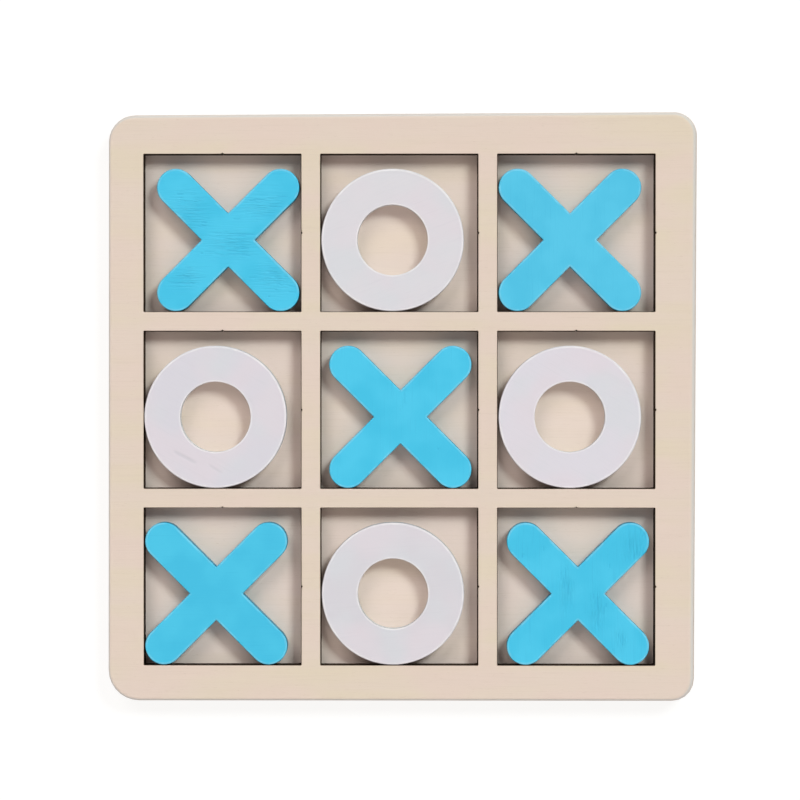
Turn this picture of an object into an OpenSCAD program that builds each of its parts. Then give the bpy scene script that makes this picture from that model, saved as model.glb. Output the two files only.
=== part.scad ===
// Wooden tic tac toe set: a square board of two glued plywood sheets with nine
// square cells, and nine loose flat playing pieces, five X and four O.
// The origin is at the centre of the board's underside, +Z is up out of the
// cells, and +Y points to the back row of cells.

/* [Board] */
// Width of one square cell
cell_w = 37.6; // [35:0.2:60]
// Width of the bars between the cells
bar_w = 4.6; // [3:0.2:12]
// Mean width of the border round the cells
border_w = 9; // [7:0.5:25]
// How far the cells sit to the left of the board's middle, from uneven sanding
cells_left = 0.5; // [0:0.1:1.5]
// How far the cells sit to the front of the board's middle, from uneven sanding
cells_forward = 0.4; // [0:0.1:1.5]
// Radius of the board's four corners
corner_r = 6; // [2:0.5:12]
// Thickness of the solid bottom sheet
base_t = 3; // [2:0.5:8]
// Thickness of the top sheet, which is the depth of the cells
grid_t = 5; // [3:0.5:12]

/* [Playing pieces] */
// Overall width of every piece
piece_w = 34; // [22:0.5:34.5]
// Thickness of every piece
piece_t = 5; // [3:0.5:12]
// Width of the two arms of an X
arm_w = 9; // [5:0.5:14]
// Diameter of the hole in an O
hole_d = 16.8; // [8:0.4:20]

/* [Resting places] */
// Gap left between a piece and the cell wall that it lies against
rest_gap = 0.1; // [0.05:0.05:0.2]

/* [Hidden] */
$fn = 96;
CELLS = 3;                                        // cells along each side
pitch = cell_w + bar_w;
board_w = CELLS * cell_w + (CELLS - 1) * bar_w + 2 * border_w;
play = (cell_w - piece_w) / 2 - rest_gap;         // how far a piece can stray from its cell's centre
arm_span = (piece_w - arm_w) * sqrt(2);           // between the centres of an arm's round ends
CUT = 1;                                          // how far a cutter passes its target

// Columns run left to right and rows front to back, each counted -1, 0, 1.
LEFT = -1;
MIDDLE = 0;
RIGHT = 1;
FRONT = -1;
BACK = 1;

// All the pieces have slid to the front wall of their cells. Sideways, each one lies
// at its own share of the free play: -1 is the left wall and 1 is the right wall.
SLID_FORWARD = -1;

// A square sheet as wide as the board, with round corners
module board_sheet(thickness) {
    half = board_w / 2;
    difference() {
        translate([-half, -half, 0]) cube([board_w, board_w, thickness]);
        for (turn = [0 : 90 : 270])
            rotate(turn)
                translate([half - corner_r, half - corner_r, -CUT])
                    difference() {
                        cube([corner_r + CUT, corner_r + CUT, thickness + 2 * CUT]);
                        cylinder(r = corner_r, h = thickness + 2 * CUT);
                    }
    }
}

// Moves its children from the board's middle to the middle of one cell
module at_cell(column, row) {
    translate([column * pitch - cells_left, row * pitch - cells_forward, 0]) children();
}

// Solid bottom sheet: the floor of all the cells
module base_panel() {
    color("burlywood") board_sheet(base_t);
}

// Top sheet, cut out as one piece with a border and crossing bars
module grid_frame() {
    color("wheat")
        translate([0, 0, base_t])
            difference() {
                board_sheet(grid_t);
                for (column = [LEFT : RIGHT], row = [FRONT : BACK])
                    at_cell(column, row)
                        translate([-cell_w / 2, -cell_w / 2, -CUT])
                            cube([cell_w, cell_w, grid_t + 2 * CUT]);
            }
}

// Puts a piece on the floor of a cell, against the front wall
module in_cell(column, row, side_share) {
    at_cell(column, row)
        translate([side_share * play, SLID_FORWARD * play, base_t])
            children();
}

// One straight arm with round ends, lying across the origin
module arm(angle) {
    rotate(angle)
        union() {
            translate([-arm_span / 2, -arm_w / 2, 0]) cube([arm_span, arm_w, piece_t]);
            for (side = [-1, 1])
                translate([side * arm_span / 2, 0, 0]) cylinder(d = arm_w, h = piece_t);
        }
}

module x_piece() {
    color("deepskyblue")
        union() {
            arm(45);
            arm(-45);
        }
}

module o_piece() {
    color("whitesmoke")
        difference() {
            cylinder(d = piece_w, h = piece_t);
            translate([0, 0, -CUT]) cylinder(d = hole_d, h = piece_t + 2 * CUT);
        }
}

base_panel();
grid_frame();
in_cell(LEFT, BACK, 0.8) x_piece();  // x_back_left
in_cell(RIGHT, BACK, -0.9) x_piece();  // x_back_right
in_cell(MIDDLE, MIDDLE, 0.15) x_piece();  // x_centre
in_cell(LEFT, FRONT, -0.9) x_piece();  // x_front_left
in_cell(RIGHT, FRONT, 0.25) x_piece();  // x_front_right
in_cell(MIDDLE, BACK, -0.95) o_piece();  // o_back
in_cell(LEFT, MIDDLE, -1) o_piece();  // o_left
in_cell(RIGHT, MIDDLE, -0.9) o_piece();  // o_right
in_cell(MIDDLE, FRONT, -0.9) o_piece();  // o_front
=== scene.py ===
import math

import bmesh
import bpy
import numpy as np
from mathutils import Matrix, Vector
from mathutils.geometry import delaunay_2d_cdt
from mathutils.kdtree import KDTree


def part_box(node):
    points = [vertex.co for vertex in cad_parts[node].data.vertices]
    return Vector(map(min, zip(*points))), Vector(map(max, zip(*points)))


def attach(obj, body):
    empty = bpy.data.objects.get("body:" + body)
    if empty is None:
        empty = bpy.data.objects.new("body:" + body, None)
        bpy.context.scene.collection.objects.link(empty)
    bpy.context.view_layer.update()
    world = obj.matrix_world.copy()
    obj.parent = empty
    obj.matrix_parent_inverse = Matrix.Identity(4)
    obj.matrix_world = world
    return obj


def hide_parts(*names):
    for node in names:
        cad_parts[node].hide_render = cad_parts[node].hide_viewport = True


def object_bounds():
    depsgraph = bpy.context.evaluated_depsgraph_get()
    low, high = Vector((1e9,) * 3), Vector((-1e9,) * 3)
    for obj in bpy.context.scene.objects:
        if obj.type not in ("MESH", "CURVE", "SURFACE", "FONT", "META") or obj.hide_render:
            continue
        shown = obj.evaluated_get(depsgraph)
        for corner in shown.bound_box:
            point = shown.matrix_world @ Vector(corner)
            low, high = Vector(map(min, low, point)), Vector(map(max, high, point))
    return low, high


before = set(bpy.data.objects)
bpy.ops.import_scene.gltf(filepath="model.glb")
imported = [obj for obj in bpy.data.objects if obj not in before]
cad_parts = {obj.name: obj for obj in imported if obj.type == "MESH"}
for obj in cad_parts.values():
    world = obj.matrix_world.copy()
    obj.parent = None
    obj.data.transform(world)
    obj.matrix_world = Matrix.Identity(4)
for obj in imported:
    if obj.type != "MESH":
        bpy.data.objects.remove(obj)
CAD_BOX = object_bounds()

# A wooden tic tac toe set. Each flat part of the CAD frame is rebuilt here as a fine mesh
# with sanded or laser-cut edges, plywood layers and grain, in the same place and size.
# Lengths are in metres. The object is +Z up, with +Y at the back.

MM = 0.001

# Sheets of plywood
PLIES = {"base_panel": 3, "grid_frame": 5, "piece": 5}
PLY_GROOVE = 0.035 * MM        # depth of the fine line between two plies
PLY_GROOVE_W = 0.09 * MM       # half its width
SEAM_ROUND = 0.06 * MM         # edges that meet at the glue line between the two sheets
FOOT_ROUND = 0.35 * MM         # lower outer edge of the board

# The board was sanded by hand after gluing, so no two corners or edges are alike.
CORNER_R = {"front_left": 7.3 * MM, "front_right": 5.2 * MM, "back_right": 5.5 * MM, "back_left": 6.3 * MM}
CORNER_FACETS = {"front_left": 7, "front_right": 5, "back_right": 16, "back_left": 7}
CORNER_OUT = {                 # how far each corner stands out along X and Y: the outside is a little askew
    "front_left": (0.0, -0.12 * MM), "front_right": (-0.17 * MM, -0.15 * MM),
    "back_right": (0.41 * MM, 0.52 * MM), "back_left": (-0.2 * MM, -0.12 * MM),
}
RIM_ROUND = {"front": 0.7 * MM, "right": 1.5 * MM, "back": 1.1 * MM, "left": 0.6 * MM}

# Laser-cut cells
CELL_CORNER_R = 0.15 * MM
CELL_EDGE_ROUND = 0.05 * MM
CUT_LEAN = 0.09 * MM           # a laser's cut narrows downwards: how far a cell wall's foot stands out
SKEW_LEAN = {"right": 0.25 * MM, "back": 0.15 * MM}    # the same for the walls that were cut askew
START_MARK_R = 0.22 * MM       # half-round notch where the laser began a wall

# Painted pieces
X_EDGE_ROUND = 0.3 * MM
O_EDGE_ROUND = 0.3 * MM
HOLE_EDGE_ROUND = 0.15 * MM
X_NOTCH_R = 0.12 * MM
GROOVE_DEPTH = 0.06 * MM       # open grain and dents in the painted faces
GROOVE_W = 0.34                # mm

# Mesh density
OUTLINE_STEP = 0.9 * MM
ARC_STEPS = 12                 # along a quarter turn of an arm's round end, or an eighth of a circle
SMALL_ARC_STEPS = 3            # round the corner of a cell or the notch of an X
START_MARK_STEPS = 8
EDGE_STEPS = 5                 # across a rounded edge
TOP_STEP = {"base": 1.0 * MM, "grid": 0.8 * MM, "smooth_x": 0.4 * MM, "grained_x": 0.17 * MM, "o": 0.3 * MM}
SHEET_UNDERSIDE_STEP = 2.0 * MM
PIECE_UNDERSIDE_STEP = 1.2 * MM
SHARP_ANGLE = 40               # degrees; a steeper edge is shaded as a crease
EDGE_REACH = 0.32 * MM         # how far an edge's painted highlight or smoke runs onto the face
SLIVER_AREA = 1e-4             # mm2; triangles between points on one line, which rounding leaves
SMOKE = 0.15                   # share of the burn that is left on the face beside a cut


def tidy_float(value):
    """A length free of the last digits that differ between equal CAD coordinates."""
    return round(value, 6)


# ---------------------------------------------------------------- outlines

def arc(centre, radius, start, end, steps):
    """Points on an arc from start to end, in degrees, both ends included."""
    turns = np.radians(np.linspace(start, end, steps + 1))
    return [(centre[0] + radius * math.cos(t), centre[1] + radius * math.sin(t)) for t in turns]


def subdivided(corners, step):
    """The closed outline through corners, as an array with points at most step apart."""
    points = []
    for here, there in zip(corners, corners[1:] + corners[:1]):
        here, there = np.array(here), np.array(there)
        count = max(1, math.ceil(np.linalg.norm(there - here) / step))
        points += [here + (there - here) * k / count for k in range(count)]
    return np.array(points)


def board_outline(node):
    """The sheet's outside, anticlockwise, with hand-sanded corners."""
    low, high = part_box(node)
    corners = []
    for name, x, y, side_x, side_y, start in (
        ("front_left", low.x, low.y, 1, 1, 180),
        ("front_right", high.x, low.y, -1, 1, 270),
        ("back_right", high.x, high.y, -1, -1, 0),
        ("back_left", low.x, high.y, 1, -1, 90),
    ):
        r = CORNER_R[name]
        out_x, out_y = CORNER_OUT[name]
        centre = (x + side_x * (r - out_x), y + side_y * (r - out_y))
        corners += arc(centre, r, start, start + 90, CORNER_FACETS[name])
    return subdivided(corners, OUTLINE_STEP)


def cell_walls():
    """Where the cell walls stand: six places along X and six along Y, read from the CAD grid."""
    low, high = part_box("grid_frame")
    reach = max(CORNER_R.values())
    walls = [set(), set()]
    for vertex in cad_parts["grid_frame"].data.vertices:
        x, y = vertex.co.x, vertex.co.y
        if low.x + reach < x < high.x - reach and low.y + reach < y < high.y - reach:
            walls[0].add(tidy_float(x))
            walls[1].add(tidy_float(y))
    return sorted(walls[0]), sorted(walls[1])


def cell_outline(x0, x1, y0, y1, back_mark):
    """One cell's opening, clockwise, with the laser's start marks in its right and maybe its back wall."""
    r = CELL_CORNER_R
    middle_x, middle_y = (x0 + x1) / 2, (y0 + y1) / 2
    corners = arc((x0 + r, y0 + r), r, 270, 180, SMALL_ARC_STEPS)
    corners += arc((x0 + r, y1 - r), r, 180, 90, SMALL_ARC_STEPS)
    if back_mark:
        corners += arc((middle_x, y1), START_MARK_R, 180, 0, START_MARK_STEPS)
    corners += arc((x1 - r, y1 - r), r, 90, 0, SMALL_ARC_STEPS)
    corners += arc((x1, middle_y), START_MARK_R, 90, -90, START_MARK_STEPS)
    corners += arc((x1 - r, y0 + r), r, 0, -90, SMALL_ARC_STEPS)
    return subdivided(corners, OUTLINE_STEP)


def x_outline(centre, reach, arm_w):
    """An X, anticlockwise. Reach is how far its arm ends stand from the centre along X and Y."""
    half = arm_w / 2
    length = (reach - half) * math.sqrt(2)
    fillet = X_NOTCH_R
    corners = []
    for turn in range(4):
        arm = arc((length, 0), half, -90, 90, 2 * ARC_STEPS)
        arm += arc((half + fillet, half + fillet), fillet, 270, 180, SMALL_ARC_STEPS)
        angle = math.radians(45 + 90 * turn)
        for u, v in arm:
            x = u * math.cos(angle) - v * math.sin(angle)
            y = u * math.sin(angle) + v * math.cos(angle)
            corners.append((centre[0] + x, centre[1] + y))
    return subdivided(corners, OUTLINE_STEP / 2)


def circle(centre, radius, clockwise=False):
    end = -360 if clockwise else 360
    steps = 8 * ARC_STEPS
    return np.array(arc(centre, radius, 0, end, steps)[:-1])


def inward(outline):
    """For each point, the step into the solid on its left that keeps both edges 1 away."""
    along = np.roll(outline, -1, axis=0) - outline
    along /= np.linalg.norm(along, axis=1)[:, None]
    left = np.stack([-along[:, 1], along[:, 0]], axis=1)
    before = np.roll(left, 1, axis=0)
    return (left + before) / (1 + (left * before).sum(axis=1))[:, None]


def sanded_round(outline):
    """Radius of the board's upper outer edge at each point, from the side that it faces."""
    out = -inward(outline)
    out /= np.linalg.norm(out, axis=1)[:, None]
    x, y = out[:, 0], out[:, 1]
    return (RIM_ROUND["right"] * np.clip(x, 0, 1) ** 2 + RIM_ROUND["left"] * np.clip(-x, 0, 1) ** 2
            + RIM_ROUND["back"] * np.clip(y, 0, 1) ** 2 + RIM_ROUND["front"] * np.clip(-y, 0, 1) ** 2)


def cut_lean(outline):
    """How far the foot of a cell's wall stands out at each point, from the side that it is on."""
    high = outline.max(axis=0)
    lean = np.full(len(outline), CUT_LEAN)
    lean[outline[:, 0] > high[0] - 2 * START_MARK_R] = SKEW_LEAN["right"]
    lean[outline[:, 1] > high[1] - 2 * START_MARK_R] = SKEW_LEAN["back"]
    return lean


# ---------------------------------------------------------------- flat parts

class Wall:
    """A closed outline of a flat part and the shape of the side that stands on it."""

    def __init__(self, outline, top_round, bottom_round, lean=0.0, burnt=0.0):
        self.outline = outline
        self.top_round = np.broadcast_to(top_round, len(outline))
        self.bottom_round = np.broadcast_to(bottom_round, len(outline))
        self.lean = np.broadcast_to(lean, len(outline))
        self.burnt = burnt

    def rings(self, low, high, plies):
        """Rows of (inset, height, edge share, burn) from the lower face round to the upper face."""
        turns = np.linspace(0, math.pi / 2, EDGE_STEPS + 1)
        r0, r1 = self.bottom_round, self.top_round
        flat = np.zeros(len(self.outline))
        rows = [(r0 + SEAM_ROUND, flat + low)]
        rows += [(r0 * (1 - math.sin(t)), low + r0 * (1 - math.cos(t))) for t in turns]
        for ply in range(1, plies):
            z = low + (high - low) * ply / plies
            if z - PLY_GROOVE_W > low + r0.max() and z + PLY_GROOVE_W < high - r1.max():
                rows += [(flat, flat + z - PLY_GROOVE_W), (flat + PLY_GROOVE, flat + z),
                         (flat, flat + z + PLY_GROOVE_W)]
        rows += [(r1 * (1 - math.cos(t)), high - r1 * (1 - math.sin(t))) for t in turns]
        rows = [(*row, 1.0, self.burnt) for row in rows]
        rows.append((r1 + SEAM_ROUND, flat + high, 1.0, self.burnt * SMOKE))
        rows.append((r1 + EDGE_REACH, flat + high, 0.0, 0.0))
        return [(inset - self.lean * (high - height) / (high - low), height, edge, burn)
                for inset, height, edge, burn in rows]


def inside(points, outlines):
    """Which points lie in the solid between the outlines."""
    odd = np.zeros(len(points), bool)
    for outline in outlines:
        for (x0, y0), (x1, y1) in zip(outline, np.roll(outline, -1, axis=0)):
            spans = (points[:, 1] >= min(y0, y1)) & (points[:, 1] < max(y0, y1))
            if spans.any():
                crossing = x0 + (points[spans, 1] - y0) * (x1 - x0) / (y1 - y0)
                odd[spans] ^= points[spans, 0] < crossing
    return odd


def filling_points(outlines, spacing):
    """Evenly spread points in the solid between the outlines, clear of its edges."""
    everything = np.vstack(outlines)
    low, high = everything.min(axis=0), everything.max(axis=0)
    rows = np.arange(low[1], high[1], spacing * math.sqrt(3) / 2)
    points = []
    for index, y in enumerate(rows):
        xs = np.arange(low[0] + (index % 2) * spacing / 2, high[0], spacing)
        points.append(np.stack([xs, np.full(len(xs), y)], axis=1))
    points = np.vstack(points)
    points = points[inside(points, outlines)]
    tree = KDTree(len(everything))
    for index, (x, y) in enumerate(everything):
        tree.insert((x, y, 0), index)
    tree.balance()
    clear = [tree.find((x, y, 0))[2] > 0.6 * spacing for x, y in points]
    return points[clear]


def face_triangles(outlines, fill):
    """Triangles between the outlines, as indices into the outlines' points and then fill's."""
    edges = []
    first = 0
    for outline in outlines:
        count = len(outline)
        edges += [(first + k, first + (k + 1) % count) for k in range(count)]
        first += count
    points = np.vstack([*outlines, fill])
    in_mm = [Vector((x / MM, y / MM)) for x, y in points]
    _, _, faces, sources, _, _ = delaunay_2d_cdt(in_mm, edges, [], 0, 1e-6)
    faces = np.array([[sources[corner][0] for corner in face] for face in faces])
    sides = (points[faces[:, 1:]] - points[faces[:, :1]]) / MM
    area = np.abs(sides[:, 0, 0] * sides[:, 1, 1] - sides[:, 0, 1] * sides[:, 1, 0]) / 2
    faces = faces[area > SLIVER_AREA]
    return faces[inside(points[faces].mean(axis=1), outlines)]


def flat_part(name, walls, low, high, plies, top_step, bottom_step, relief):
    """A closed mesh of a flat part. Relief maps top points to how deep each one lies."""
    verts, quads, edge, burn = [], [], [], []
    bottoms, tops, bottom_ids, top_ids = [], [], [], []
    start = 0
    for wall in walls:
        step = inward(wall.outline)
        count = len(wall.outline)
        rows = wall.rings(low, high, plies)
        for inset, height, edge_share, burnt in rows:
            flat = wall.outline + step * inset[:, None]
            verts.append(np.column_stack([flat, height]))
            edge.append(np.full(count, edge_share))
            burn.append(np.full(count, burnt))
        here = np.arange(count)
        ahead = (here + 1) % count
        for row in range(len(rows) - 1):
            a, b = start + row * count, start + (row + 1) * count
            quads.append(np.stack([a + here, a + ahead, b + ahead, b + here], axis=1))
        bottoms.append(verts[-len(rows)][:, :2])
        tops.append(verts[-1][:, :2])
        bottom_ids.append(start + here)
        top_ids.append(start + (len(rows) - 1) * count + here)
        start += len(rows) * count
    faces = [tuple(int(v) for v in quad) for quad in np.vstack(quads)]
    for outlines, ids, z, spacing, up in ((bottoms, bottom_ids, low, bottom_step, False),
                                          (tops, top_ids, high, top_step, True)):
        fill = filling_points(outlines, spacing)
        triangles = face_triangles(outlines, fill)
        indices = np.concatenate([*ids, start + np.arange(len(fill))])
        triangles = indices[triangles if up else triangles[:, ::-1]]
        faces += [tuple(int(v) for v in triangle) for triangle in triangles]
        heights = np.full(len(fill), z)
        if up:
            heights = heights - relief(fill)
        verts.append(np.column_stack([fill, heights]))
        edge.append(np.zeros(len(fill)))
        burn.append(np.zeros(len(fill)))
        start += len(fill)
    mesh = bpy.data.meshes.new(name)
    mesh.from_pydata(np.vstack(verts).tolist(), [], faces)
    closed = bmesh.new()
    closed.from_mesh(mesh)
    bmesh.ops.recalc_face_normals(closed, faces=closed.faces)
    closed.to_mesh(mesh)
    closed.free()
    point_values(mesh, "edge", np.concatenate(edge))
    point_values(mesh, "burn", np.concatenate(burn))
    mesh.shade_smooth()
    mesh.set_sharp_from_angle(angle=math.radians(SHARP_ANGLE))
    piece = bpy.data.objects.new(name, mesh)
    bpy.context.scene.collection.objects.link(piece)
    return piece


def point_values(mesh, name, values):
    """Stores one number per vertex, for a material to read."""
    layer = mesh.attributes.new(name, "FLOAT", "POINT")
    layer.data.foreach_set("value", np.asarray(values, np.float32))


# ---------------------------------------------------------------- grain

def waves(seed, long_way, short_way, depth):
    """A relief of soft ridges that run along X: sums of sines with fixed random phases."""
    rng = np.random.default_rng(seed)
    count = 14
    along = rng.normal(0, 2 * math.pi / long_way, count)
    across = rng.normal(0, 2 * math.pi / short_way, count)
    phase = rng.uniform(0, 2 * math.pi, count)

    def relief(points):
        total = np.sin(points[:, :1] * along + points[:, 1:] * across + phase).sum(axis=1)
        return depth * (0.5 + 0.5 * np.tanh(total / math.sqrt(count)))

    return relief


class Grooves:
    """Open grain and dents in a piece's upper face. Places and sizes are in mm from its centre."""

    def __init__(self, centre, seed):
        self.centre = np.array(centre)
        self.rng = np.random.default_rng(seed)
        self.lines = []
        self.patches = []

    def line(self, x, y, length, width, direction, depth=1.0, wave=0.0):
        """One groove about the place x, y. Its depth is a share of the deepest one's."""
        self.lines.append((x, y, length / 2, width / 2, math.radians(direction), depth, wave))

    def patch(self, x, y, reach_x, reach_y, count, longest, direction):
        """Fine grooves that run much the same way, scattered about one rough place."""
        self.patches.append((x, y, reach_x, reach_y))
        for _ in range(count):
            self.line(
                x + self.rng.uniform(-reach_x, reach_x),
                y + self.rng.uniform(-reach_y, reach_y),
                length=longest * self.rng.uniform(0.3, 1.0),
                width=self.rng.uniform(0.22, 0.36),
                direction=direction + self.rng.normal(0, 2.5),
                depth=self.rng.uniform(0.3, 1.0),
                wave=self.rng.normal(0, 0.06),
            )

    def flat(self, points):
        return ((points[:, :2] - self.centre) / MM).T

    def share(self, points):
        """How deep the grooves are at each point, from 0 to 1."""
        total = np.zeros(len(points))
        across_piece, up_piece = self.flat(points)
        for x, y, half_length, half_width, turn, depth, wave in self.lines:
            east, north = across_piece - x, up_piece - y
            along = (east * math.cos(turn) + north * math.sin(turn)) / half_length
            across = north * math.cos(turn) - east * math.sin(turn) - wave * np.sin(4 * along)
            fade = np.clip(1 - along ** 4, 0, 1)
            total = np.maximum(total, depth * fade * np.exp(-(across / half_width) ** 2))
        return total

    def roughness(self, points):
        """How rough the wood is at each point, from 0 to 1: 1 in the middle of a patch."""
        total = np.zeros(len(points))
        across_piece, up_piece = self.flat(points)
        for x, y, reach_x, reach_y in self.patches:
            off = ((across_piece - x) / reach_x) ** 2 + ((up_piece - y) / reach_y) ** 2
            total = np.maximum(total, np.exp(-0.8 * off))
        return total


# ---------------------------------------------------------------- materials

WOOD_SHINE = 0.2               # specular levels
PAINT_SHINE = 0.35
CHAR_SHINE = 0.02
WOOD_BUMP = 0.04               # heights of the finest relief, in mm
BLUE_BUMP = 0.07
WHITE_BUMP = 0.015


def paint(red, green, blue):
    """A display colour, 0 to 255, as the linear colour that shows it under this light."""
    def linear(value):
        value /= 255
        return value / 12.92 if value <= 0.04045 else ((value + 0.055) / 1.055) ** 2.4
    return (linear(red), linear(green), linear(blue), 1.0)


class Shader:
    """Builds one node material. Its coordinates are the object's own, in millimetres."""

    def __init__(self, name):
        self.material = bpy.data.materials.new(name)
        self.material.use_nodes = True
        self.tree = self.material.node_tree
        self.surface = self.tree.nodes["Principled BSDF"]
        metres = self.add("ShaderNodeTexCoord").outputs["Object"]
        in_mm = self.add("ShaderNodeVectorMath", {0: metres, "Scale": 1 / MM}, operation="SCALE")
        self.mm = in_mm.outputs[0]
        parts = self.add("ShaderNodeSeparateXYZ", {0: self.mm})
        self.x, self.y, self.z = parts.outputs

    def put(self, socket, value):
        if isinstance(value, bpy.types.NodeSocket):
            self.tree.links.new(value, socket)
        else:
            socket.default_value = value

    def add(self, kind, inputs=None, **settings):
        node = self.tree.nodes.new(kind)
        for key, value in settings.items():
            setattr(node, key, value)
        for key, value in (inputs or {}).items():
            self.put(node.inputs[key], value)
        return node

    def math(self, operation, a, b=0.0):
        return self.add("ShaderNodeMath", {0: a, 1: b}, operation=operation).outputs[0]

    def ramp(self, value, low, high, new_low=0.0, new_high=1.0):
        """Value from low to high, eased, becomes new_low to new_high."""
        inputs = {"Value": value, "From Min": low, "From Max": high, "To Min": new_low, "To Max": new_high}
        node = self.add("ShaderNodeMapRange", inputs, interpolation_type="SMOOTHSTEP")
        return node.outputs["Result"]

    def noise(self, size, offset=0.0, turn=0.0, detail=4.0, roughness=0.5):
        """Noise from 0 to 1 whose features are about size mm along each axis."""
        turned = self.add("ShaderNodeMapping", {"Vector": self.mm, "Rotation": (0, 0, -turn)})
        scale = tuple(1 / s for s in size)
        sized = self.add("ShaderNodeMapping", {"Vector": turned.outputs[0], "Scale": scale,
                                               "Location": (offset, offset * 1.7, offset * 0.6)})
        inputs = {"Vector": sized.outputs[0], "Scale": 1.0, "Detail": detail, "Roughness": roughness}
        return self.add("ShaderNodeTexNoise", inputs).outputs["Fac"]

    def mix(self, share, a, b):
        """Colour a where the share is 0 and colour b where it is 1. The numbers are its colour sockets."""
        return self.add("ShaderNodeMix", {0: share, 6: a, 7: b}, data_type="RGBA").outputs[2]

    def value(self, name):
        return self.add("ShaderNodeAttribute", attribute_name=name).outputs["Fac"]

    def normal_z(self):
        normal = self.add("ShaderNodeNewGeometry").outputs["Normal"]
        return self.add("ShaderNodeSeparateXYZ", {0: normal}).outputs["Z"]

    def finish(self, colour, roughness, height, bump_mm, shine):
        bump = self.add("ShaderNodeBump", {"Strength": 1.0, "Distance": bump_mm * MM, "Height": height})
        self.put(self.surface.inputs["Base Color"], colour)
        self.put(self.surface.inputs["Roughness"], roughness)
        self.put(self.surface.inputs["Specular IOR Level"], shine)
        self.put(self.surface.inputs["Normal"], bump.outputs["Normal"])
        return self.material


def bare_plywood(name, node, tone, seed):
    """Sanded pale plywood with its grain along X, greyer on its rounded rim, partly for the sanded wood's
    tone and partly as painted shade. Its layers show in its sides.
    """
    s = Shader(name)
    low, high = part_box(node)
    bands = s.noise((90, 7, 7), seed + 3, detail=2)
    patches = s.noise((24, 13, 9), seed + 7, detail=2)
    fibre = s.noise((13, 0.3, 0.3), seed, detail=5, roughness=0.6)
    flecks = s.noise((1.5, 0.13, 0.13), seed + 5, detail=1)
    colour = s.mix(s.ramp(bands, 0.35, 0.65), tone["pale"], tone["warm"])
    colour = s.mix(s.ramp(patches, 0.40, 0.62, 0, 0.7), colour, tone["rosy"])
    colour = s.mix(s.ramp(fibre, 0.50, 0.78, 0, 0.3), colour, tone["dark"])
    colour = s.mix(s.ramp(flecks, 0.68, 0.80, 0, 0.25), colour, tone["fleck"])
    flat = s.math("ABSOLUTE", s.normal_z())
    # The rounded rim is painted a greyer tone: partly the sanded wood's own tone, partly painted shade on
    # the rounding.
    colour = s.mix(s.ramp(flat, 0.995, 0.8, 0, 0.8), colour, tone["sanded_and_shade"])
    colour = s.mix(s.ramp(flat, 0.55, 0.3), colour, plywood_layers(s, low, high, PLIES[node], tone, seed))
    height = s.math("ADD", s.math("MULTIPLY", fibre, 0.7), s.math("MULTIPLY", flecks, 0.3))
    roughness = s.ramp(fibre, 0.3, 0.7, 0.62, 0.78)
    return s, colour, roughness, height


def plywood_layers(s, low, high, plies, tone, seed):
    """The sheet's side: long grain and end grain by turns, with a fine glue line between."""
    ply_t = (high.z - low.z) / plies / MM
    level = s.math("DIVIDE", s.math("SUBTRACT", s.z, low.z / MM), ply_t)
    odd = s.math("MODULO", s.math("FLOOR", level), 2.0)
    ends = s.noise((0.5, 0.5, 0.22), seed + 11, detail=3)
    end_grain = s.mix(s.ramp(ends, 0.35, 0.7), tone["end_pale"], tone["end_dark"])
    lines = s.noise((5, 5, 0.12), seed + 13)
    long_grain = s.mix(s.ramp(lines, 0.4, 0.7), tone["pale"], tone["dark"])
    glue = s.ramp(s.math("PINGPONG", level, 0.5), 0.07, 0.02, 0, 0.8)
    return s.mix(glue, s.mix(odd, long_grain, end_grain), tone["glue"])


def charred_cuts(s, colour):
    """Chars the walls that a laser cut, and leaves a trace of smoke on the face beside them."""
    burn = s.value("burn")
    strokes = s.noise((0.25, 0.25, 6), 4.0, detail=3)
    char = s.mix(s.ramp(strokes, 0.35, 0.7), paint(14, 6, 1), paint(50, 28, 12))
    colour = s.mix(s.ramp(burn, 0.0, SMOKE, 0, 0.10), colour, paint(178, 140, 104))
    colour = s.mix(s.ramp(burn, 0.3, 0.8, 0, 0.96), colour, char)
    return colour, s.ramp(burn, 0.3, 0.8, WOOD_SHINE, CHAR_SHINE)


def plywood_tone(pale, warm, rosy, dark, sanded_and_shade):
    """The colours of one sheet of plywood. Its sanded rim tone is partly painted shade."""
    return {
        "pale": paint(*pale), "warm": paint(*warm), "rosy": paint(*rosy), "dark": paint(*dark),
        "sanded_and_shade": paint(*sanded_and_shade), "fleck": paint(180, 156, 132), "glue": paint(140, 108, 78),
        "end_pale": paint(206, 180, 148), "end_dark": paint(168, 136, 102),
    }


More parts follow.
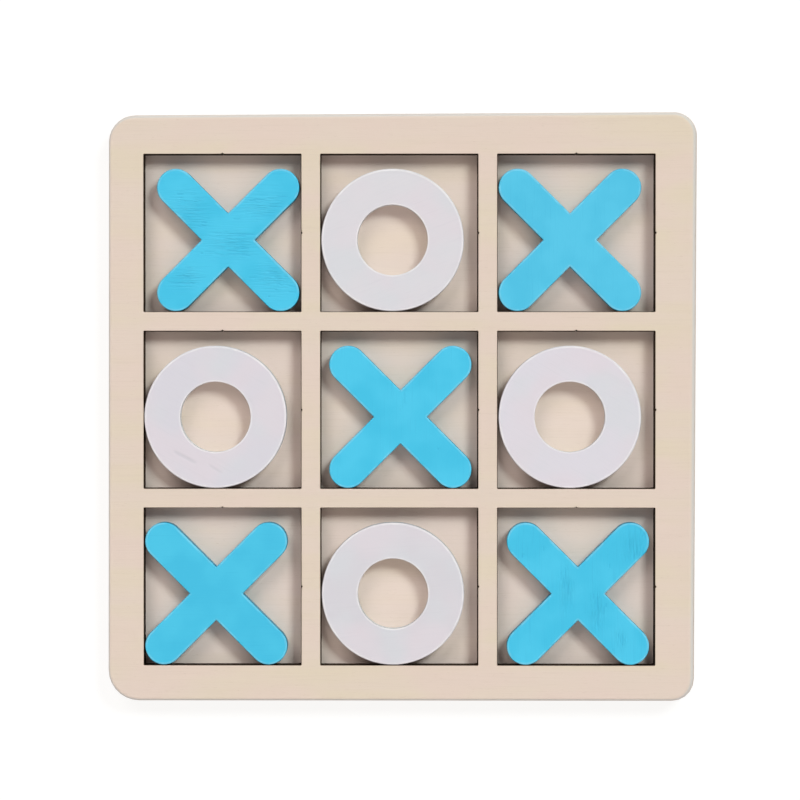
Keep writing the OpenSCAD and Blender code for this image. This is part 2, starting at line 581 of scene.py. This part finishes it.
def blue_paint(name, look):
    """Satin light blue paint that follows the wood's grain, a little thin on the cut sides."""
    s = Shader(name)
    seed = look["seed"]
    turn = math.radians(look["grain"])
    grain = s.noise((9, 0.32, 4), seed, turn, detail=5, roughness=0.6)
    fine = s.noise((5, 0.42, 4), seed + 3, turn, detail=2, roughness=0.6)
    cloud = s.noise((10, 10, 10), seed + 5, detail=2)
    lifted = s.math("MULTIPLY", s.value("rough"), s.ramp(fine, 0.44, 0.58))
    colour = s.mix(s.ramp(cloud, 0.35, 0.65), look["deep"], look["light"])
    colour = s.mix(s.ramp(grain, 0.52, 0.75, 0, look["fibre"]), colour, look["open_grain_and_shade"])
    colour = s.mix(s.math("MULTIPLY", lifted, 0.15), colour, look["open_grain_and_shade"])
    # Painted shade: the grooves are painted darker, partly for the shade inside them and partly for the
    # open grain.
    colour = s.mix(s.ramp(s.value("groove"), 0.15, 0.9, 0, 0.45), colour, look["open_grain_and_shade"])
    # Painted highlight: a pale rim along the rounded upper edges.
    edge = s.math("MULTIPLY", s.value("edge"), s.ramp(s.noise((3, 3, 3), seed + 2), 0.35, 0.6))
    colour = s.mix(s.math("MULTIPLY", edge, 0.35), colour, paint(150, 220, 242))
    strokes = s.ramp(s.noise((0.3, 0.3, 5), seed + 6, detail=3), 0.35, 0.7)
    side = s.mix(strokes, paint(50, 144, 174), paint(60, 174, 208))
    colour = s.mix(s.ramp(s.math("ABSOLUTE", s.normal_z()), 0.6, 0.3), colour, side)
    height = s.math("SUBTRACT", s.math("MULTIPLY", grain, 0.3), lifted)
    roughness = s.ramp(grain, 0.3, 0.7, 0.40, 0.52)
    return s.finish(colour, roughness, height, BLUE_BUMP, PAINT_SHINE)


def white_paint(name, look):
    """Smooth matte white paint, with a painted highlight along its edges and streaky on the cut sides."""
    s = Shader(name)
    seed = look["seed"]
    strokes = s.noise((9, 0.35, 4), seed, math.radians(look["brush"]), detail=4, roughness=0.6)
    cloud = s.noise((12, 12, 12), seed + 5, detail=2)
    tint = s.noise((14, 14, 14), seed + 8, detail=1)
    colour = s.mix(s.ramp(cloud, 0.4, 0.65, 0, 0.7), look["coat"], look["cool"])
    colour = s.mix(s.ramp(tint, 0.45, 0.7, 0, 0.6), colour, look["rosy"])
    colour = s.mix(s.ramp(strokes, 0.5, 0.8, 0, 0.15), colour, paint(196, 196, 202))
    # Painted shade: the dents are painted darker, for the shade inside them.
    colour = s.mix(s.ramp(s.value("groove"), 0.1, 0.9, 0, 0.35), colour, paint(190, 190, 196))
    # Painted highlight: a paler rim along the rounded edges of the ring and its hole.
    painted_edge_highlight = s.math("MULTIPLY", s.value("edge"), s.ramp(s.noise((3, 3, 3), seed + 2), 0.35, 0.65, 0.4, 1))
    colour = s.mix(s.math("MULTIPLY", painted_edge_highlight, 0.7), colour, paint(242, 240, 240))
    streaks = s.ramp(s.noise((0.3, 0.3, 5), seed + 6, detail=3), 0.35, 0.7)
    side = s.mix(streaks, paint(205, 209, 210), paint(220, 225, 227))
    colour = s.mix(s.ramp(s.math("ABSOLUTE", s.normal_z()), 0.5, 0.2), colour, side)
    height = s.math("ADD", s.math("MULTIPLY", strokes, 0.6), s.math("MULTIPLY", cloud, 0.4))
    roughness = s.ramp(strokes, 0.3, 0.7, 0.50, 0.62)
    return s.finish(colour, roughness, height, WHITE_BUMP, PAINT_SHINE)


# ---------------------------------------------------------------- the object's pieces

def place(piece, node, body, material):
    piece.data.materials.append(material)
    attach(piece, body)
    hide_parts(node)


def make_base_panel():
    low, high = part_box("base_panel")
    wall = Wall(board_outline("base_panel"), SEAM_ROUND, FOOT_ROUND)
    relief = waves(seed=11, long_way=60 * MM, short_way=4 * MM, depth=0.02 * MM)
    piece = flat_part("base_sheet", [wall], low.z, high.z, PLIES["base_panel"], TOP_STEP["base"],
                      SHEET_UNDERSIDE_STEP, relief)
    tone = plywood_tone((229, 212, 199), (228, 211, 194), (228, 210, 199), (213, 195, 178), (208, 197, 184))
    s, colour, roughness, height = bare_plywood("base_plywood_wood", "base_panel", tone, seed=21.0)
    wood = s.finish(colour, roughness, height, WOOD_BUMP, WOOD_SHINE)
    place(piece, "base_panel", "board", wood)


def make_grid_frame():
    low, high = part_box("grid_frame")
    outline = board_outline("grid_frame")
    walls = [Wall(outline, sanded_round(outline), SEAM_ROUND)]
    xs, ys = cell_walls()
    for column in (0, 2, 4):
        for row in (0, 2, 4):
            cell = cell_outline(xs[column], xs[column + 1], ys[row], ys[row + 1], back_mark=column != 2)
            walls.append(Wall(cell, CELL_EDGE_ROUND, SEAM_ROUND, cut_lean(cell), burnt=1.0))
    relief = waves(seed=12, long_way=80 * MM, short_way=5 * MM, depth=0.02 * MM)
    piece = flat_part("grid_sheet", walls, low.z, high.z, PLIES["grid_frame"], TOP_STEP["grid"],
                      SHEET_UNDERSIDE_STEP, relief)
    tone = plywood_tone((225, 209, 194), (224, 210, 188), (226, 207, 194), (211, 194, 177), (212, 210, 205))
    s, colour, roughness, height = bare_plywood("grid_plywood_wood", "grid_frame", tone, seed=3.0)
    colour, shine = charred_cuts(s, colour)
    wood = s.finish(colour, roughness, height, WOOD_BUMP, shine)
    place(piece, "grid_frame", "board", wood)


# Open grain in the X's upper faces. A line is one groove: its middle x and y in mm from the
# piece's centre, its length in mm, its direction in degrees and its share of the full depth.
# A patch is a rough place: its middle x and y and its reach in x and y, then its number of
# small grooves, the longest one in mm, and their direction in degrees.
BLUE = {
    "grain": 0,
    "fibre": 0.2,
    "deep": paint(62, 195, 231),
    "light": paint(73, 202, 237),
    "open_grain_and_shade": paint(46, 172, 214),
    "lines": (),
    "patches": (),
}
X_LOOKS = {
    "x_back_left": {
        "grain": 0, "fibre": 0.3, "seed": 5,
        "lines": (
            (-11.5, 10.9, 1.8, 0, 0.9), (-11.6, 7.5, 2.5, 0, 0.6), (-7, 7, 4, -2, 0.6),
            (-10, 5.7, 2, -12, 0.8), (-5.8, 4.2, 1.8, -3, 1), (-5.8, 3.4, 1.4, -5, 1),
            (5.8, 9.4, 2, 0, 0.9), (9, 8.8, 9, -3, 0.6), (11.3, 8, 4, -2, 0.8),
            (7.5, 6.5, 5.5, 0, 0.6), (2, 5, 2, -3, 0.8), (1.3, 1.5, 11, -2, 0.7),
            (4.8, 1.3, 4, 0, 1), (4, -2, 2.2, 0, 1), (1, -2.4, 4, 0, 0.7),
            (2, -3.3, 6, 0, 0.9), (4.2, -3.6, 2.5, -8, 1), (-11.5, -10.3, 6, -4, 0.9),
            (-7, -9, 3.5, 3, 0.6), (-9.6, -6.6, 2, 0, 0.7), (9.7, -7.4, 2, 0, 0.7),
            (5.6, -9, 2, 0, 0.6), (14, -8.7, 2, 0, 0.8), (15.2, -11, 2, -5, 0.9),
            (15.2, -12.4, 2, 0, 0.9), (-6.3, -3.2, 0.8, 0, 1), (9.7, -13.5, 0.6, 0, 1),
        ),
        "patches": (
            (-9.5, 7, 3.8, 4, 8, 3.5, -8),
            (8.5, 8, 5, 2.8, 7, 6, -2),
            (1, -1, 5.5, 2.8, 5, 6, -1),
            (11.5, -9, 4, 3.2, 6, 3, -4),
            (-10, -9, 3, 2.5, 3, 3, -7),
        ),
    },
    "x_back_right": {
        "grain": 90, "seed": 6, "deep": paint(74, 194, 229), "light": paint(82, 200, 234),
    },
    "x_centre": {
        "grain": 90, "seed": 7,
        "lines": ((1, 4.5, 4, 90, 0.6), (0.4, 3, 3, 91, 0.4), (9, -7.6, 0.7, 80, 0.9)),
    },
    "x_front_left": {
        "grain": 0, "seed": 8, "deep": paint(63, 192, 228), "light": paint(71, 199, 233),
    },
    "x_front_right": {
        "grain": 90, "fibre": 0.3, "seed": 9,
        "lines": (
            (-3, 5, 3.5, 90, 0.8), (-3, -2, 7, 90, 0.5), (-1.7, -1, 4, 91, 0.7),
            (-2.3, 0.5, 3, 90, 0.6), (3.7, -0.6, 2, 90, 0.9), (4.8, -6.3, 4, 90, 0.9),
            (6.7, -2.7, 1.2, 90, 1), (7.5, 6.6, 1.2, 90, 0.9), (13.4, 9, 2, 85, 1),
            (14.6, 9.4, 2, 88, 1), (15.6, 10.5, 2, 85, 0.8), (15.6, 14.2, 1.6, 60, 0.9),
            (10.5, -11, 3.5, 90, 0.9), (8.3, -13.4, 1, 90, 0.8), (-8.2, 10.8, 1.5, 90, 0.8),
            (-13.3, 9, 1, 90, 1), (12.2, 12, 4, 90, 0.6), (11.2, 9, 3, 90, 0.5),
        ),
        "patches": (
            (13.5, 11.5, 2.6, 4, 9, 3, 91),
            (-2.8, 1, 1.6, 4, 5, 4, 90),
            (4.5, -4, 1.8, 4, 4, 4, 91),
            (10.4, -11, 1.2, 2.5, 3, 4, 90),
        ),
    },
}
O_LOOKS = {
    "o_back": {"brush": 20, "seed": 31, "coat": paint(219, 217, 221), "dents": ()},
    "o_left": {
        "brush": -28, "seed": 32, "coat": paint(216, 214, 221),
        "dents": ((-7.3, -9.6, 7, 0.9, -28, 1), (0, -12.4, 4.6, 0.8, -32, 0.7)),
    },
    "o_right": {"brush": -30, "seed": 33, "coat": paint(220, 217, 224), "dents": ()},
    "o_front": {"brush": 5, "seed": 34, "coat": paint(214, 212, 217), "dents": ()},
}


def middle_and_reach(node):
    low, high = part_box(node)
    return ((low.x + high.x) / 2, (low.y + high.y) / 2), (high.x - low.x) / 2


def nearest_point(node, centre):
    """Distance from the centre to the CAD node's nearest edge."""
    return min(math.dist(vertex.co[:2], centre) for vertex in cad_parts[node].data.vertices)


def painted_part(node, walls, top_step, grooves, swell=None):
    """A painted playing piece, with its grooves pressed into its upper face."""
    low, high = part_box(node)

    def relief(points):
        return GROOVE_DEPTH * grooves.share(points) + (swell(points) if swell else 0)

    piece = flat_part(node + "_painted", walls, low.z, high.z, PLIES["piece"], top_step,
                      PIECE_UNDERSIDE_STEP, relief)
    points = np.array([vertex.co for vertex in piece.data.vertices])
    point_values(piece.data, "groove", grooves.share(points))
    point_values(piece.data, "rough", grooves.roughness(points))
    return piece


def make_x(node):
    look = {**BLUE, **X_LOOKS[node]}
    centre, reach = middle_and_reach(node)
    arm_w = nearest_point(node, centre) * math.sqrt(2)
    wall = Wall(x_outline(centre, reach, arm_w), X_EDGE_ROUND, X_EDGE_ROUND / 2)
    grooves = Grooves(centre, look["seed"])
    for x, y, length, direction, depth in look["lines"]:
        grooves.line(x, y, length, GROOVE_W, direction, depth)
    for patch in look["patches"]:
        grooves.patch(*patch)
    top_step = TOP_STEP["grained_x" if look["lines"] else "smooth_x"]
    piece = painted_part(node, [wall], top_step, grooves)
    place(piece, node, node, blue_paint(node + "_blue", look))


def make_o(node):
    look = {"cool": paint(214, 217, 221), "rosy": paint(224, 214, 220), **O_LOOKS[node]}
    centre, reach = middle_and_reach(node)
    hole_r = nearest_point(node, centre)
    walls = [Wall(circle(centre, reach), O_EDGE_ROUND, O_EDGE_ROUND / 2),
             Wall(circle(centre, hole_r, clockwise=True), HOLE_EDGE_ROUND, HOLE_EDGE_ROUND)]
    grooves = Grooves(centre, look["seed"])
    for dent in look["dents"]:
        grooves.line(*dent)
    swell = waves(look["seed"], long_way=18 * MM, short_way=6 * MM, depth=0.015 * MM)
    piece = painted_part(node, walls, TOP_STEP["o"], grooves, swell)
    place(piece, node, node, white_paint(node + "_white", look))


# ---------------------------------------------------------------- studio

# Soft lamps far off. Azimuth is in degrees from +X towards +Y. Share is the part of the light
# on a flat upper face that the lamp gives, and angle is how wide it looks, which softens shadows.
# The key lamp is a little cool and the rest a little warm, so that shadows look warm.
LAMPS = {
    "key": {"azimuth": 46, "elevation": 52, "share": 0.41, "angle": 18, "colour": (0.89, 1.0, 1.02)},
    "fill": {"azimuth": 120, "elevation": 49, "share": 0.20, "angle": 32, "colour": (1.04, 1.0, 1.0)},
    "front": {"azimuth": 265, "elevation": 50, "share": 0.14, "angle": 70, "colour": (1.04, 1.0, 1.0)},
}
ROOM_SHARE = 0.25              # the rest of the light comes evenly from all round
ROOM_COLOUR = (1.18, 1.0, 0.96, 1)
BACKDROP = (1.0, 1.0, 0.99, 1)
FLOOR_W = 6.0
FLOOR_GLOW = 0.85              # the pale table looks brightly lit, so shadows on it stay faint
FLOOR_LIT = ((0.80, 0.80, 0.79, 1), (0.84, 0.84, 0.83, 1))    # how it throws light back on the object
FLOOR_SEEN = (0.2, 0.2, 0.2, 1)       # how it takes shadows in the picture, under its glow
CAMERA_LENS = 200
CAMERA_AIM = (-0.33 * MM, 1.94 * MM)
CAMERA_ABOVE = 1.060           # from the board's top
CAMERA_OFF = (15 * MM, 15 * MM)       # how far the camera stands to the right and back of its aim


def make_floor():
    mesh = bpy.data.meshes.new("floor")
    ground = bmesh.new()
    bmesh.ops.create_grid(ground, x_segments=8, y_segments=8, size=FLOOR_W / 2)
    ground.to_mesh(mesh)
    ground.free()
    floor = bpy.data.objects.new("floor", mesh)
    bpy.context.scene.collection.objects.link(floor)
    s = Shader("pale_floor")
    seen = s.add("ShaderNodeLightPath").outputs["Is Camera Ray"]
    cloud = s.noise((900, 900, 900), 1.0, detail=2)
    colour = s.mix(seen, s.mix(cloud, *FLOOR_LIT), FLOOR_SEEN)
    s.put(s.surface.inputs["Emission Color"], BACKDROP)
    s.put(s.surface.inputs["Emission Strength"], s.math("MULTIPLY", seen, FLOOR_GLOW))
    floor.data.materials.append(s.finish(colour, roughness=0.9, height=cloud, bump_mm=0.01, shine=0.0))


def make_lamps():
    for name, lamp in LAMPS.items():
        data = bpy.data.lights.new(name, "SUN")
        data.energy = lamp["share"] * math.pi / math.sin(math.radians(lamp["elevation"]))
        data.angle = math.radians(lamp["angle"])
        data.color = lamp["colour"]
        sun = bpy.data.objects.new(name, data)
        azimuth, elevation = math.radians(lamp["azimuth"]), math.radians(lamp["elevation"])
        towards = Vector((math.cos(azimuth) * math.cos(elevation), math.sin(azimuth) * math.cos(elevation),
                          math.sin(elevation)))
        sun.rotation_mode = "QUATERNION"
        sun.rotation_quaternion = towards.to_track_quat("Z", "Y")
        bpy.context.scene.collection.objects.link(sun)


def make_room():
    """An even warm light from all round, which the camera sees as a plain white backdrop."""
    world = bpy.data.worlds.new("studio")
    bpy.context.scene.world = world
    world.use_nodes = True
    tree = world.node_tree
    room = tree.nodes["Background"]
    room.inputs["Color"].default_value = ROOM_COLOUR
    room.inputs["Strength"].default_value = ROOM_SHARE
    backdrop = tree.nodes.new("ShaderNodeBackground")
    backdrop.inputs["Color"].default_value = BACKDROP
    path = tree.nodes.new("ShaderNodeLightPath")
    either = tree.nodes.new("ShaderNodeMixShader")
    tree.links.new(path.outputs["Is Camera Ray"], either.inputs[0])
    tree.links.new(room.outputs[0], either.inputs[1])
    tree.links.new(backdrop.outputs[0], either.inputs[2])
    tree.links.new(either.outputs[0], tree.nodes["World Output"].inputs["Surface"])


def make_camera():
    _, high = CAD_BOX
    aim = Vector((*CAMERA_AIM, high.z))
    data = bpy.data.cameras.new("camera")
    data.lens = CAMERA_LENS
    data.sensor_width = 36
    data.clip_start = 0.05
    data.clip_end = 20
    camera = bpy.data.objects.new("camera", data)
    camera.location = aim + Vector((*CAMERA_OFF, CAMERA_ABOVE))
    back = (camera.location - aim).normalized()
    right = Vector((0, 1, 0)).cross(back).normalized()
    camera.rotation_mode = "QUATERNION"
    camera.rotation_quaternion = Matrix((right, back.cross(right), back)).transposed().to_quaternion()
    bpy.context.scene.collection.objects.link(camera)
    bpy.context.scene.camera = camera


make_base_panel()
make_grid_frame()
for name in X_LOOKS:
    make_x(name)
for name in O_LOOKS:
    make_o(name)
make_floor()
make_lamps()
make_room()
make_camera()
bpy.context.scene.view_settings.view_transform = "Standard"
